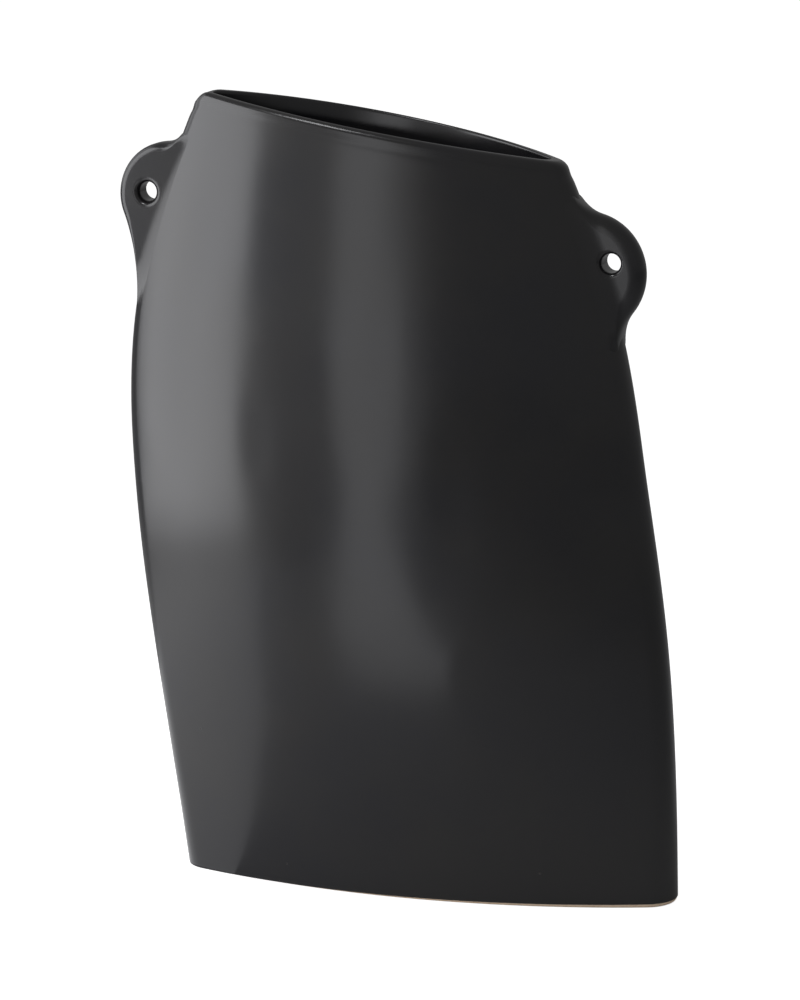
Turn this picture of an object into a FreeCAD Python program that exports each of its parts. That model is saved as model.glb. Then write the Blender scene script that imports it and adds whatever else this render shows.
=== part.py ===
"""Pillow vase: a tall flat vessel of clay slabs with a leaning body, a sloping mouth and two ears.

Frame: millimetres, +Z up, -Y is the front face, +X is to the right of someone who looks at the front.
The origin is the centre of the foot, on the surface that the vase stands on.
"""
import FreeCAD, Part
import math
import os

import Sketcher
from FreeCAD import Placement, Rotation, Vector

# Driving sizes, in mm
SIZES = {
    "vase_height": 370.0,
    "body_width": 253.5,
    "body_depth": 90.0,
    "body_lean": 27.0,
    "edge_radius": 14.0,
    "mouth_width": 171.0,
    "rim_drop": 27.0,
    "lip_radius": 2.2,
    "wall": 5.5,
    "edge_wall": 8.5,
    "floor_thickness": 9.0,
    "foot_height": 1.4,
    "foot_radius": 2.2,
    "left_ear_radius": 24.5,
    "left_ear_reach": -4.1,
    "left_ear_drop": 49.5,
    "right_ear_radius": 28.4,
    "right_ear_reach": -8.3,
    "right_ear_drop": 77.9,
    "ear_thickness": 10.0,
    "ear_root_inset": 1.5,
    "ear_luting_depth": 6.0,
    "left_neck_radius": 9.5,
    "right_neck_radius": 11.0,
    "left_armpit_radius": 100.0,
    "right_armpit_radius": 26.0,
    "ear_hole_radius": 4.4,
    "ear_hole_softening": 1.3,
    "left_hole_offset": 9.7,
    "left_hole_rise": 1.2,
    "right_hole_offset": 13.2,
    "right_hole_rise": 5.6,
    "cut_overrun": 20.0,
}

# Each level of the body: shares of the height, the width, the lean, the front and back half depths
# and the edge radius. The last level is above the mouth, and its width follows the mouth's
LEVEL_SHARES = {
    "foot": (0.0, 0.946, -0.01, 0.77, 0.76, 1.15),
    "lower": (0.162, 0.977, 0.19, 0.88, 0.88, 1.05),
    "belly": (0.351, 0.997, 0.49, 0.975, 0.975, 1.07),
    "chest": (0.541, 0.983, 0.81, 1.0, 1.0, 1.0),
    "upper": (0.708, 0.934, 0.98, 0.93, 1.0, 0.86),
    "shoulder": (0.865, 0.806, 1.07, 0.75, 0.965, 0.75),
    "mouth": (1.027, 0.900, 1.12, 0.51, 0.88, 0.68),
}
SHARE_NAMES = ("height", "width", "lean", "front", "back", "edge")

# The hollow starts on the floor, where the body is a little wider than at the foot. These shares are
# those of a level without its height
FLOOR_SHARES = (0.952, 0.02, 0.785, 0.775, 1.1)
HOLLOW_LEVELS = ("lower", "belly", "chest", "upper", "shoulder", "mouth")
INNER_EDGE_SHARE = 0.5
MOUTH_LEAN_SHARE = 0.93

# The ears' rounded edges take almost half of their thickness on each side
EAR_EDGE_SHARE = 0.46

# How far off a point may lie when an edge is picked by its place, and the points looked at on it
PICK_TOLERANCE = 0.05
EDGE_SAMPLES = 5

doc = FreeCAD.newDocument("PillowVase")
sheet = doc.addObject("Spreadsheet::Sheet", "sizes")


def fill_sheet():
    """Writes every driving size and share into the sheet, each with its alias."""
    cells = dict(SIZES)
    for level, shares in LEVEL_SHARES.items():
        for name, share in zip(SHARE_NAMES, shares):
            cells[f"{level}_{name}_share"] = share
    for name, share in zip(SHARE_NAMES[1:], FLOOR_SHARES):
        cells[f"floor_{name}_share"] = share
    cells["inner_edge_share"] = INNER_EDGE_SHARE
    cells["mouth_lean_share"] = MOUTH_LEAN_SHARE
    cells["ear_edge_share"] = EAR_EDGE_SHARE
    for row, (alias, number) in enumerate(cells.items(), start=1):
        sheet.set(f"A{row}", alias)
        sheet.set(f"B{row}", str(number))
        sheet.setAlias(f"B{row}", alias)
    doc.recompute()


def value(expression):
    """The present value of an expression in the sheet's sizes."""
    result = sheet.evalExpression(expression)
    return float(getattr(result, "Value", result))


def level_height(level):
    return f"sizes.vase_height * sizes.{level}_height_share"


def level_shift(level):
    """The lean carries each level to the left."""
    return f"-sizes.body_lean * sizes.{level}_lean_share"


def level_half_width(level):
    full = "mouth_width" if level == "mouth" else "body_width"
    return f"sizes.{full} * sizes.{level}_width_share / 2"


def level_half_depth(level, side):
    return f"sizes.body_depth * sizes.{level}_{side}_share / 2"


def level_edge(level):
    return f"sizes.edge_radius * sizes.{level}_edge_share"


def tip(level, side):
    """Distance of the body's side edge from the middle of the foot; side is -1 left, 1 right."""
    sign = "+" if side < 0 else "-"
    return f"{level_half_width(level)} {sign} sizes.body_lean * sizes.{level}_lean_share"


def edge_at(rise, side):
    """Distance of the side edge from the middle at a height, on straight lines between the tips."""
    level = level_height("shoulder")

    def line_to(other):
        slope = f"(({tip(other, side)}) - ({tip('shoulder', side)})) / ({level_height(other)} - {level})"
        return f"{tip('shoulder', side)} + {slope} * ({rise} - {level})"

    return f"({rise} < {level} ? {line_to('upper')} : {line_to('mouth')})"


def attach(sketch, body, role):
    """Puts a sketch on one of its own body's origin planes."""
    plane = next(item for item in body.Origin.OriginFeatures if item.Role == role)
    sketch.AttachmentSupport = [(plane, "")]
    sketch.MapMode = "FlatFace"


def dimension(sketch, name, constraint, expression):
    """Adds a named dimension and binds it to the sheet."""
    index = sketch.addConstraint(constraint)
    sketch.renameConstraint(index, name)
    sketch.setExpression(f"Constraints.{name}", expression)


class Point:
    """How a sketch numbers the points of a curve; its own origin is the start of curve -1."""
    start, end, centre = 1, 2, 3
    origin = (-1, 1)


def span(sketch, name, axis, one, other, expression):
    """A named distance along one axis, between two points of a sketch."""
    dimension(sketch, name, Sketcher.Constraint(axis, *one, *other, value(expression)), expression)


def lens_sketch(body, name, rise, shift, half_width, front, back, edge):
    """A closed lens of four tangent arcs: front face, right edge, back face and left edge."""
    sketch = body.newObject("Sketcher::SketchObject", name)
    attach(sketch, body, "XY_Plane")
    sketch.AttachmentOffset = Placement(Vector(value(shift), 0, value(rise)), Rotation())
    sketch.setExpression("AttachmentOffset.Base.x", shift)
    sketch.setExpression("AttachmentOffset.Base.z", rise)

    near, far, radius = value(front), value(back), value(edge)
    reach = value(half_width) - radius
    up = Vector(0, 0, 1)
    near_radius = (reach**2 + near**2 - radius**2) / (2 * (near - radius))
    far_radius = (reach**2 + far**2 - radius**2) / (2 * (far - radius))
    near_turn = math.asin(reach / (near_radius - radius))
    far_turn = math.asin(reach / (far_radius - radius))
    quarter = math.pi / 2

    def arc(x, y, size, start, end):
        sketch.addGeometry(Part.ArcOfCircle(Part.Circle(Vector(x, y, 0), up, size), start, end), False)

    arc(0, near_radius - near, near_radius, -quarter - near_turn, -quarter + near_turn)
    arc(reach, 0, radius, -quarter + near_turn, quarter - far_turn)
    arc(0, far - far_radius, far_radius, quarter - far_turn, quarter + far_turn)
    arc(-reach, 0, radius, quarter + far_turn, 3 * quarter - near_turn)
    sketch.addGeometry(Part.LineSegment(Vector(0, 0, 0), Vector(0, -near, 0)), True)
    sketch.addGeometry(Part.LineSegment(Vector(0, 0, 0), Vector(0, far, 0)), True)
    face_front, edge_right, face_back, edge_left, depth_front, depth_back = range(6)
    x_axis, y_axis = -1, -2

    ring = (face_front, edge_right, face_back, edge_left)
    for one, other in zip(ring, ring[1:] + ring[:1]):
        sketch.addConstraint(Sketcher.Constraint("Tangent", one, Point.end, other, Point.start))
    for arc_id in (edge_right, edge_left):
        sketch.addConstraint(Sketcher.Constraint("PointOnObject", arc_id, Point.centre, x_axis))
    for line, face in ((depth_front, face_front), (depth_back, face_back)):
        sketch.addConstraint(Sketcher.Constraint("Coincident", line, Point.start, *Point.origin))
        sketch.addConstraint(Sketcher.Constraint("PointOnObject", line, Point.end, y_axis))
        sketch.addConstraint(Sketcher.Constraint("PointOnObject", line, Point.end, face))
    sketch.addConstraint(Sketcher.Constraint("Equal", edge_right, edge_left))

    half_reach = f"{half_width} - {edge}"
    dimension(sketch, "edge", Sketcher.Constraint("Radius", edge_right, radius), edge)
    span(sketch, "right", "DistanceX", Point.origin, (edge_right, Point.centre), half_reach)
    span(sketch, "left", "DistanceX", (edge_left, Point.centre), Point.origin, half_reach)
    span(sketch, "front", "DistanceY", (depth_front, Point.end), Point.origin, front)
    span(sketch, "back", "DistanceY", Point.origin, (depth_back, Point.end), back)
    return sketch


def outer_sketch(body, level):
    return lens_sketch(
        body, f"{level}_outline", level_height(level), level_shift(level), level_half_width(level),
        level_half_depth(level, "front"), level_half_depth(level, "back"), level_edge(level))


def hollow_sketch(body, level, rise):
    """The outline of the hollow: the body's own, less the walls."""
    return lens_sketch(
        body, f"{level}_hollow", rise, level_shift(level),
        f"{level_half_width(level)} - sizes.edge_wall",
        f"{level_half_depth(level, 'front')} - sizes.wall",
        f"{level_half_depth(level, 'back')} - sizes.wall",
        f"{level_edge(level)} * sizes.inner_edge_share")


def add_loft(body, kind, name, sketches):
    """A smooth skin through sketches that lie one above the other, added or cut away."""
    loft = body.newObject(f"PartDesign::{kind}", name)
    loft.Profile = sketches[0]
    loft.Sections = sketches[1:]
    loft.Ruled = False
    doc.recompute()
    return loft


def rectangle(sketch, left, low, right, high):
    """A plain rectangle, its four lines joined at the corners and level or upright."""
    corners = [Vector(left, low, 0), Vector(right, low, 0), Vector(right, high, 0), Vector(left, high, 0)]
    for one, other in zip(corners, corners[1:] + corners[:1]):
        sketch.addGeometry(Part.LineSegment(one, other), False)
    for line in range(4):
        sketch.addConstraint(Sketcher.Constraint("Coincident", line, Point.end, (line + 1) % 4, Point.start))
        sketch.addConstraint(Sketcher.Constraint("Horizontal" if line % 2 == 0 else "Vertical", line))


def edges_where(feature, test):
    """Names of the edges of a feature whose sampled points all pass a test."""
    names = []
    for number, edge in enumerate(feature.Shape.Edges, start=1):
        points = edge.discretize(EDGE_SAMPLES)
        if all(test(point) for point in points):
            names.append(f"Edge{number}")
    return names


def must_shrink(before, feature):
    """A cut that points away from the solid takes nothing off, so the volumes are compared."""
    if feature.Shape.Volume >= before:
        raise RuntimeError(f"{feature.Name} cut nothing")


def outer_form(name):
    """A body with the vessel's outer form, still solid and uncut at the top."""
    body = doc.addObject("PartDesign::Body", name)
    add_loft(body, "AdditiveLoft", f"{name}_loft", [outer_sketch(body, level) for level in LEVEL_SHARES])
    return body


def vase_form():
    """The whole vessel in one: outer form, hollow, sloping mouth, rounded lip and foot."""
    body = outer_form("vase_form")
    solid_volume = body.Shape.Volume

    floor = hollow_sketch(body, "floor", "sizes.floor_thickness")
    above = [hollow_sketch(body, level, level_height(level)) for level in HOLLOW_LEVELS]
    hollow = add_loft(body, "SubtractiveLoft", "hollow", [floor] + above)
    must_shrink(solid_volume, hollow)

    # The mouth is cut along a slope whose middle is half the drop below the highest point
    slope = body.newObject("Sketcher::SketchObject", "mouth_slope")
    attach(slope, body, "XZ_Plane")
    shift = "-sizes.body_lean * sizes.mouth_lean_share"
    middle = "sizes.vase_height - sizes.rim_drop / 2"
    turn = "-atan(sizes.rim_drop / sizes.mouth_width)"
    tilt = Rotation(Vector(0, 0, 1), value(turn))
    slope.AttachmentOffset = Placement(Vector(value(shift), value(middle), 0), tilt)
    slope.setExpression("AttachmentOffset.Base.x", shift)
    slope.setExpression("AttachmentOffset.Base.y", middle)
    slope.setExpression("AttachmentOffset.Rotation.Angle", turn)
    half_span, above_slope = "sizes.body_width / 2", "sizes.rim_drop + sizes.cut_overrun"
    width, rise = value(half_span), value(above_slope)
    rectangle(slope, -width, 0, width, rise)
    low_line, side_line, x_axis = 0, 1, -1
    span(slope, "left", "DistanceX", (low_line, Point.start), Point.origin, half_span)
    span(slope, "right", "DistanceX", Point.origin, (low_line, Point.end), half_span)
    span(slope, "rise", "DistanceY", (side_line, Point.start), (side_line, Point.end), above_slope)
    slope.addConstraint(Sketcher.Constraint("PointOnObject", low_line, Point.start, x_axis))
    mouth = body.newObject("PartDesign::Pocket", "mouth_cut")
    mouth.Profile = slope
    mouth.Type = "ThroughAll"
    mouth.Midplane = True
    doc.recompute()
    must_shrink(hollow.Shape.Volume, mouth)

    slant = math.radians(value(turn))
    normal = Vector(-math.sin(slant), 0, math.cos(slant))
    through = Vector(value(shift), 0, value(middle))
    lip = body.newObject("PartDesign::Fillet", "lip")
    on_slope = edges_where(mouth, lambda point: abs((point - through).dot(normal)) < PICK_TOLERANCE)
    lip.Base = (mouth, on_slope)
    lip.setExpression("Radius", "sizes.lip_radius")
    doc.recompute()
    foot = body.newObject("PartDesign::Fillet", "foot_round")
    foot.Base = (lip, edges_where(lip, lambda point: abs(point.z) < PICK_TOLERANCE))
    foot.setExpression("Radius", "sizes.foot_radius")
    doc.recompute()
    return body


def foot_blank():
    """What is cut out of the form as the floor: a thin foot under the walls and a plug between them."""
    body = doc.addObject("PartDesign::Body", "foot_blank")
    foot = body.newObject("Sketcher::SketchObject", "foot_slab_outline")
    attach(foot, body, "XY_Plane")
    half_width, half_depth = "sizes.body_width / 2", "sizes.body_depth / 2"
    width, depth = value(half_width), value(half_depth)
    rectangle(foot, -width, -depth, width, depth)
    near_line, far_line = 0, 2
    span(foot, "left", "DistanceX", (near_line, Point.start), Point.origin, half_width)
    span(foot, "right", "DistanceX", Point.origin, (near_line, Point.end), half_width)
    span(foot, "front", "DistanceY", (near_line, Point.start), Point.origin, half_depth)
    span(foot, "back", "DistanceY", Point.origin, (far_line, Point.start), half_depth)
    slab = body.newObject("PartDesign::Pad", "foot_slab")
    slab.Profile = foot
    slab.setExpression("Length", "sizes.foot_height")
    doc.recompute()
    outline = hollow_sketch(body, "floor", "sizes.floor_thickness")
    plug = body.newObject("PartDesign::Pad", "floor_plug")
    plug.Profile = outline
    plug.Reversed = True
    plug.setExpression("Length", "sizes.floor_thickness")
    doc.recompute()
    return body


def half_space(name, side):
    """A box over one half of the vessel, up to the seam between the two walls; side is -1 front, 1 back."""
    box = doc.addObject("Part::Box", name)
    box.setExpression("Length", "2 * sizes.body_width")
    box.setExpression("Width", "sizes.body_depth")
    box.setExpression("Height", "sizes.vase_height + 2 * sizes.cut_overrun")
    box.setExpression("Placement.Base.x", "-sizes.body_width")
    if side < 0:
        box.setExpression("Placement.Base.y", "-sizes.body_depth")
    box.setExpression("Placement.Base.z", "-sizes.cut_overrun")
    return box


def boolean(kind, name, base, tool):
    result = doc.addObject(f"Part::{kind}", name)
    result.Base = base
    result.Tool = tool
    doc.recompute()
    return result


def ear_rise(name):
    return f"sizes.vase_height - sizes.{name}_drop"


def ear_across(name, side):
    return f"{edge_at(ear_rise(name), side)} + sizes.{name}_reach"


def ear_root(level, side):
    """Where the ear's hollow curves end: a little inside the body, so that they cross its surface."""
    return f"{tip(level, side)} - sizes.ear_root_inset"


def neck_name(name):
    return name.replace("_ear", "_neck_radius")


def armpit_name(name):
    return name.replace("_ear", "_armpit_radius")


def ear_sketch(body, name, side):
    """The ear's outline: a round lobe that runs into the body's side through two hollow curves.

    The curves end on two straight construction lines that follow the side edge just inside the body.
    Behind them the outline dives into the wall by the luting depth.
    """
    sketch = body.newObject("Sketcher::SketchObject", f"{name}_outline")
    attach(sketch, body, "XZ_Plane")
    across, rise = ear_across(name, side), ear_rise(name)
    lobe, neck, armpit = f"sizes.{name}_radius", f"sizes.{neck_name(name)}", f"sizes.{armpit_name(name)}"
    depth = "sizes.ear_luting_depth"

    def at(u, v):
        return Vector(side * u, v, 0)

    centre = Vector(value(across), value(rise), 0)
    low, mid, high = [
        Vector(value(ear_root(level, side)), value(level_height(level)), 0)
        for level in ("upper", "shoulder", "mouth")]
    size, deep = value(lobe), value(depth)

    def hollow_curve(start, finish, radius, sense):
        """Centre and foot of the curve that touches the lobe and the line from start to finish."""
        along = (finish - start).normalize()
        outward = Vector(along.y, -along.x, 0)
        offset = centre - mid
        gap = offset.dot(outward)
        run = offset.dot(along) + sense * math.sqrt((size + radius)**2 - (radius - gap)**2)
        foot = mid + along * run
        return foot + outward * radius, foot, outward

    neck_centre, neck_foot, neck_out = hollow_curve(mid, high, value(neck), 1)
    pit_centre, pit_foot, pit_out = hollow_curve(low, mid, value(armpit), -1)
    neck_in, pit_in = neck_foot - neck_out * deep, pit_foot - pit_out * deep
    up = Vector(0, 0, 1)

    def arc(middle, radius, one, other):
        """An arc about middle from one point to another, anticlockwise on the sheet after mirroring."""
        first, last = (one, other) if side > 0 else (other, one)
        angles = [math.atan2(point.y - middle.y, side * (point.x - middle.x)) for point in (first, last)]
        circle = Part.Circle(at(middle.x, middle.y), up, radius)
        sketch.addGeometry(Part.ArcOfCircle(circle, angles[0], angles[1]), False)

    lobe_low = centre + (pit_centre - centre).normalize() * size
    lobe_high = centre + (neck_centre - centre).normalize() * size
    arc(centre, size, lobe_low, lobe_high)
    arc(neck_centre, value(neck), neck_foot, lobe_high)
    arc(pit_centre, value(armpit), lobe_low, pit_foot)
    for one, other in ((neck_foot, neck_in), (neck_in, pit_in), (pit_in, pit_foot)):
        sketch.addGeometry(Part.LineSegment(at(one.x, one.y), at(other.x, other.y)), False)
    for one, other in ((mid, high), (mid, low)):
        sketch.addGeometry(Part.LineSegment(at(one.x, one.y), at(other.x, other.y)), True)
    lobe_id, neck_id, pit_id, neck_line, inner_line, pit_line, high_line, low_line = range(8)
    first, last = (Point.start, Point.end) if side > 0 else (Point.end, Point.start)

    sketch.addConstraint([
        Sketcher.Constraint("Tangent", lobe_id, last, neck_id, last),
        Sketcher.Constraint("Tangent", lobe_id, first, pit_id, first),
        Sketcher.Constraint("Coincident", neck_line, Point.start, neck_id, first),
        Sketcher.Constraint("Coincident", neck_line, Point.end, inner_line, Point.start),
        Sketcher.Constraint("Coincident", inner_line, Point.end, pit_line, Point.start),
        Sketcher.Constraint("Coincident", pit_line, Point.end, pit_id, last),
        Sketcher.Constraint("Coincident", high_line, Point.start, low_line, Point.start),
        Sketcher.Constraint("Tangent", neck_id, first, high_line),
        Sketcher.Constraint("Tangent", pit_id, last, low_line),
        Sketcher.Constraint("Perpendicular", neck_line, high_line),
        Sketcher.Constraint("Perpendicular", pit_line, low_line),
    ])

    def place(label, geometry, point, across_text, rise_text):
        ends = (Point.origin, (geometry, point)) if side > 0 else ((geometry, point), Point.origin)
        span(sketch, f"{label}_across", "DistanceX", *ends, across_text)
        span(sketch, f"{label}_rise", "DistanceY", Point.origin, (geometry, point), rise_text)

    place("lobe", lobe_id, Point.centre, across, rise)
    place("shoulder", high_line, Point.start, ear_root("shoulder", side), level_height("shoulder"))
    place("mouth", high_line, Point.end, ear_root("mouth", side), level_height("mouth"))
    place("upper", low_line, Point.end, ear_root("upper", side), level_height("upper"))
    dimension(sketch, "lobe_radius", Sketcher.Constraint("Radius", lobe_id, size), lobe)
    dimension(sketch, "neck_radius", Sketcher.Constraint("Radius", neck_id, value(neck)), neck)
    dimension(sketch, "armpit_radius", Sketcher.Constraint("Radius", pit_id, value(armpit)), armpit)
    dimension(sketch, "neck_depth", Sketcher.Constraint("Distance", neck_line, deep), depth)
    dimension(sketch, "armpit_depth", Sketcher.Constraint("Distance", pit_line, deep), depth)
    return sketch


def ear_blank(name, side):
    """A flat ear with rounded edges and a softened hole, before it is trimmed to the body."""
    body = doc.addObject("PartDesign::Body", f"{name}_blank")
    outline = ear_sketch(body, name, side)
    plate = body.newObject("PartDesign::Pad", f"{name}_plate")
    plate.Profile = outline
    plate.Midplane = True
    plate.setExpression("Length", "sizes.ear_thickness")
    doc.recompute()

    round_edge = body.newObject("PartDesign::Fillet", f"{name}_round")
    half = value("sizes.ear_thickness / 2")
    on_faces = edges_where(plate, lambda point: abs(abs(point.y) - half) < PICK_TOLERANCE)
    curved = [edge for edge in on_faces if isinstance(plate.Shape.getElement(edge).Curve, Part.Circle)]
    round_edge.Base = (plate, curved)
    round_edge.setExpression("Radius", "sizes.ear_thickness * sizes.ear_edge_share")
    doc.recompute()

    side_name = name.split("_")[0]
    across = f"{ear_across(name, side)} + sizes.{side_name}_hole_offset"
    rise = f"{ear_rise(name)} + sizes.{side_name}_hole_rise"
    circle = body.newObject("Sketcher::SketchObject", f"{name}_hole_outline")
    attach(circle, body, "XZ_Plane")
    radius = value("sizes.ear_hole_radius")
    centre = Vector(side * value(across), value(rise), 0)
    circle.addGeometry(Part.Circle(centre, Vector(0, 0, 1), radius), False)
    ring = 0
    ends = (Point.origin, (ring, Point.centre)) if side > 0 else ((ring, Point.centre), Point.origin)
    span(circle, "across", "DistanceX", *ends, across)
    span(circle, "rise", "DistanceY", Point.origin, (ring, Point.centre), rise)
    dimension(circle, "radius", Sketcher.Constraint("Radius", ring, radius), "sizes.ear_hole_radius")
    hole = body.newObject("PartDesign::Pocket", f"{name}_hole")
    hole.Profile = circle
    hole.Type = "ThroughAll"
    hole.Midplane = True
    doc.recompute()
    must_shrink(round_edge.Shape.Volume, hole)

    def on_hole(point):
        return abs(math.hypot(point.x - centre.x, point.z - centre.y) - radius) < PICK_TOLERANCE

    rims = edges_where(hole, on_hole)
    soft = body.newObject("PartDesign::Fillet", f"{name}_hole_soft")
    soft.Base = (hole, [rim for rim in rims if isinstance(hole.Shape.getElement(rim).Curve, Part.Circle)])
    soft.setExpression("Radius", "sizes.ear_hole_softening")
    doc.recompute()
    return body


def check(thing, solids=1):
    """Stops at an object that failed, or a sub-part that isn't one sound solid."""
    shape = thing.Shape
    if shape.isNull() or not shape.isValid() or len(shape.Solids) != solids:
        raise RuntimeError(f"{thing.Label} is not {solids} sound solid, it has {len(shape.Solids)}")


def build():
    fill_sheet()
    form = vase_form()
    trim = outer_form("ear_trim")
    foot = foot_blank()
    walls = boolean("Cut", "walls", form, foot)
    pieces = [
        boolean("Common", "front_wall", walls, half_space("front_half", -1)),
        boolean("Common", "back_wall", walls, half_space("back_half", 1)),
        boolean("Common", "base_slab", form, foot),
        boolean("Cut", "left_ear", ear_blank("left_ear", -1), trim),
        boolean("Cut", "right_ear", ear_blank("right_ear", 1), trim),
    ]
    for thing in doc.Objects:
        if "Invalid" in thing.State or "Error" in thing.State:
            raise RuntimeError(f"{thing.Name} failed: {thing.State}")
    os.makedirs("parts", exist_ok=True)
    for piece in pieces:
        check(piece)
        piece.Shape.exportStep(f"parts/{piece.Label}.step")
        print(f"{piece.Label}: volume {piece.Shape.Volume:.0f} mm3")


build()
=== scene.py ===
import math

import bpy
import numpy
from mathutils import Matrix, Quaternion, Vector


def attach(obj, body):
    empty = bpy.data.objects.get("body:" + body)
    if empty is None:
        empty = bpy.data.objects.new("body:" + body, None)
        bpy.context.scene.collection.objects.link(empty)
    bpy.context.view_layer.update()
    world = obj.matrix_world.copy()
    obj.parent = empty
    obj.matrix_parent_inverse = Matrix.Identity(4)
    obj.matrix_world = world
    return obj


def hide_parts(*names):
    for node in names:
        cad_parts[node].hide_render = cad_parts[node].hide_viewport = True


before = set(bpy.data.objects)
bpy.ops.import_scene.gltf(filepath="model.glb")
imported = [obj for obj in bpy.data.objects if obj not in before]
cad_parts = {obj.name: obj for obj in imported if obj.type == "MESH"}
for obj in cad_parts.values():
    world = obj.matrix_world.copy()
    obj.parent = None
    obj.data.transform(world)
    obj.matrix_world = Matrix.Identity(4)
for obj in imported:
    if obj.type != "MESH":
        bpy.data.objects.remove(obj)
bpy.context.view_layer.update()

# camera: the photograph's view, 800 by 1000 pixels
cameraView = {
    "azimuth": 18.0,
    "elevation": 11.154,
    "distance": 2.0907,
    "lookAt": (-0.01472, 0.0, 0.18166),
    "lens": 162.0,
    "sensor": 36.0,
}


def aroundVase(azimuth, elevation, distance, centre):
    a, e = math.radians(azimuth), math.radians(elevation)
    back = Vector((math.sin(a) * math.cos(e), -math.cos(a) * math.cos(e), math.sin(e)))
    return Vector(centre) + back * distance, (-back).to_track_quat("-Z", "Y")


def makeCamera():
    data = bpy.data.cameras.new("photoCamera")
    data.sensor_width = cameraView["sensor"]
    data.lens = cameraView["lens"]
    camera = bpy.data.objects.new("photoCamera", data)
    bpy.context.scene.collection.objects.link(camera)
    camera.rotation_mode = "QUATERNION"
    camera.location, camera.rotation_quaternion = aroundVase(
        cameraView["azimuth"], cameraView["elevation"], cameraView["distance"], cameraView["lookAt"])
    bpy.context.scene.camera = camera


# lamps: place, the point aimed at, turn in degrees, width and height in metres, brightness
lamps = {
    "leftSoftbox": ((-0.573, -0.236, 0.425), (0.0, 0.0, 0.425), 0.0, 0.365, 0.78, 3.7),
    "leftWrap": ((-0.78, 0.12, 0.60), (0.0, 0.0, 0.35), 0.0, 0.45, 0.60, 1.1),
    "frontStrip": ((-0.286, -1.062, 0.42), (0.0, 0.0, 0.35), 0.0, 0.33, 0.90, 1.55),
    "leftFill": ((-0.70, -0.85, 0.45), (0.0, 0.0, 0.30), 0.0, 0.50, 0.90, 0.42),
    "rightFill": ((-0.06, -1.15, 0.42), (0.0, 0.0, 0.35), 0.0, 0.16, 0.90, 0.45),
    "topSoftbox": ((-0.42, -0.42, 1.46), (0.0, 0.0, 0.30), 0.0, 0.36, 0.28, 11.0),
    "leftCard": ((-0.434, -0.133, 0.001), (-0.434, -0.133, 1.0), -44.0, 0.34, 0.67, 0.68),
    "frontCard": ((-0.213, -0.719, 0.001), (-0.213, -0.719, 1.0), -16.5, 0.21, 0.78, 1.15),
}
lampColour = (0.97, 0.975, 1.0)


def makeLamps():
    for name, (place, aim, turn, width, height, brightness) in lamps.items():
        data = bpy.data.lights.new(name, "AREA")
        data.shape = "RECTANGLE"
        data.size = width
        data.size_y = height
        data.energy = math.pi * width * height * brightness
        data.color = lampColour
        lamp = bpy.data.objects.new(name, data)
        bpy.context.scene.collection.objects.link(lamp)
        lamp.location = place
        lamp.rotation_mode = "QUATERNION"
        # a card that lies on the floor shines straight up
        flat = Quaternion((1, 0, 0), math.pi) if place[0] == aim[0] else None
        facing = flat or (Vector(aim) - Vector(place)).to_track_quat("-Z", "Y")
        lamp.rotation_quaternion = Quaternion((0, 0, 1), math.radians(turn)) @ facing
        lamp.visible_camera = False


# studio: grey for the light on the vase, white behind it for the camera
studio = {"lightLevel": 0.285, "floorAlbedo": 0.62, "floorGlow": 0.88, "floorSize": 12.0}


def makeWorld():
    world = bpy.data.worlds.new("studio")
    bpy.context.scene.world = world
    world.use_nodes = True
    tree = world.node_tree
    tree.nodes.clear()
    out = tree.nodes.new("ShaderNodeOutputWorld")
    background = tree.nodes.new("ShaderNodeBackground")
    path = tree.nodes.new("ShaderNodeLightPath")
    mix = tree.nodes.new("ShaderNodeMix")
    mix.data_type = "RGBA"
    level = studio["lightLevel"]
    mix.inputs["A"].default_value = (level, level, level, 1)
    mix.inputs["B"].default_value = (1, 1, 1, 1)
    tree.links.new(path.outputs["Is Camera Ray"], mix.inputs["Factor"])
    tree.links.new(mix.outputs["Result"], background.inputs["Color"])
    tree.links.new(background.outputs["Background"], out.inputs["Surface"])


def makeFloor():
    mesh = bpy.data.meshes.new("floor")
    size = studio["floorSize"]
    corners = [(-size, -size, 0), (size, -size, 0), (size, size, 0), (-size, size, 0)]
    mesh.from_pydata(corners, [], [(0, 1, 2, 3)])
    floor = bpy.data.objects.new("floor", mesh)
    bpy.context.scene.collection.objects.link(floor)
    material = bpy.data.materials.new("paleFloor")
    material.use_nodes = True
    tree = material.node_tree
    tree.nodes.clear()
    out = tree.nodes.new("ShaderNodeOutputMaterial")
    diffuse = tree.nodes.new("ShaderNodeBsdfDiffuse")
    albedo = studio["floorAlbedo"]
    diffuse.inputs["Color"].default_value = (albedo, albedo, albedo, 1)
    glow = tree.nodes.new("ShaderNodeEmission")
    both = tree.nodes.new("ShaderNodeAddShader")
    path = tree.nodes.new("ShaderNodeLightPath")
    strength = tree.nodes.new("ShaderNodeMath")
    strength.operation = "MULTIPLY"
    strength.inputs[1].default_value = studio["floorGlow"]
    tree.links.new(path.outputs["Is Camera Ray"], strength.inputs[0])
    tree.links.new(strength.outputs[0], glow.inputs["Strength"])
    tree.links.new(diffuse.outputs[0], both.inputs[0])
    tree.links.new(glow.outputs[0], both.inputs[1])
    tree.links.new(both.outputs[0], out.inputs["Surface"])
    mesh.materials.append(material)


class Wire:
    # a node socket that can be written into a formula
    def __init__(self, tree, socket):
        self.tree = tree
        self.socket = socket

    def __add__(self, other):
        return maths(self.tree, "ADD", self, other)

    def __sub__(self, other):
        return maths(self.tree, "SUBTRACT", self, other)

    def __rsub__(self, other):
        return maths(self.tree, "SUBTRACT", other, self)

    def __mul__(self, other):
        return maths(self.tree, "MULTIPLY", self, other)

    def __truediv__(self, other):
        return maths(self.tree, "DIVIDE", self, other)

    __radd__ = __add__
    __rmul__ = __mul__


def feed(tree, socket, value):
    if isinstance(value, Wire):
        tree.links.new(value.socket, socket)
    else:
        socket.default_value = value


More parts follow.
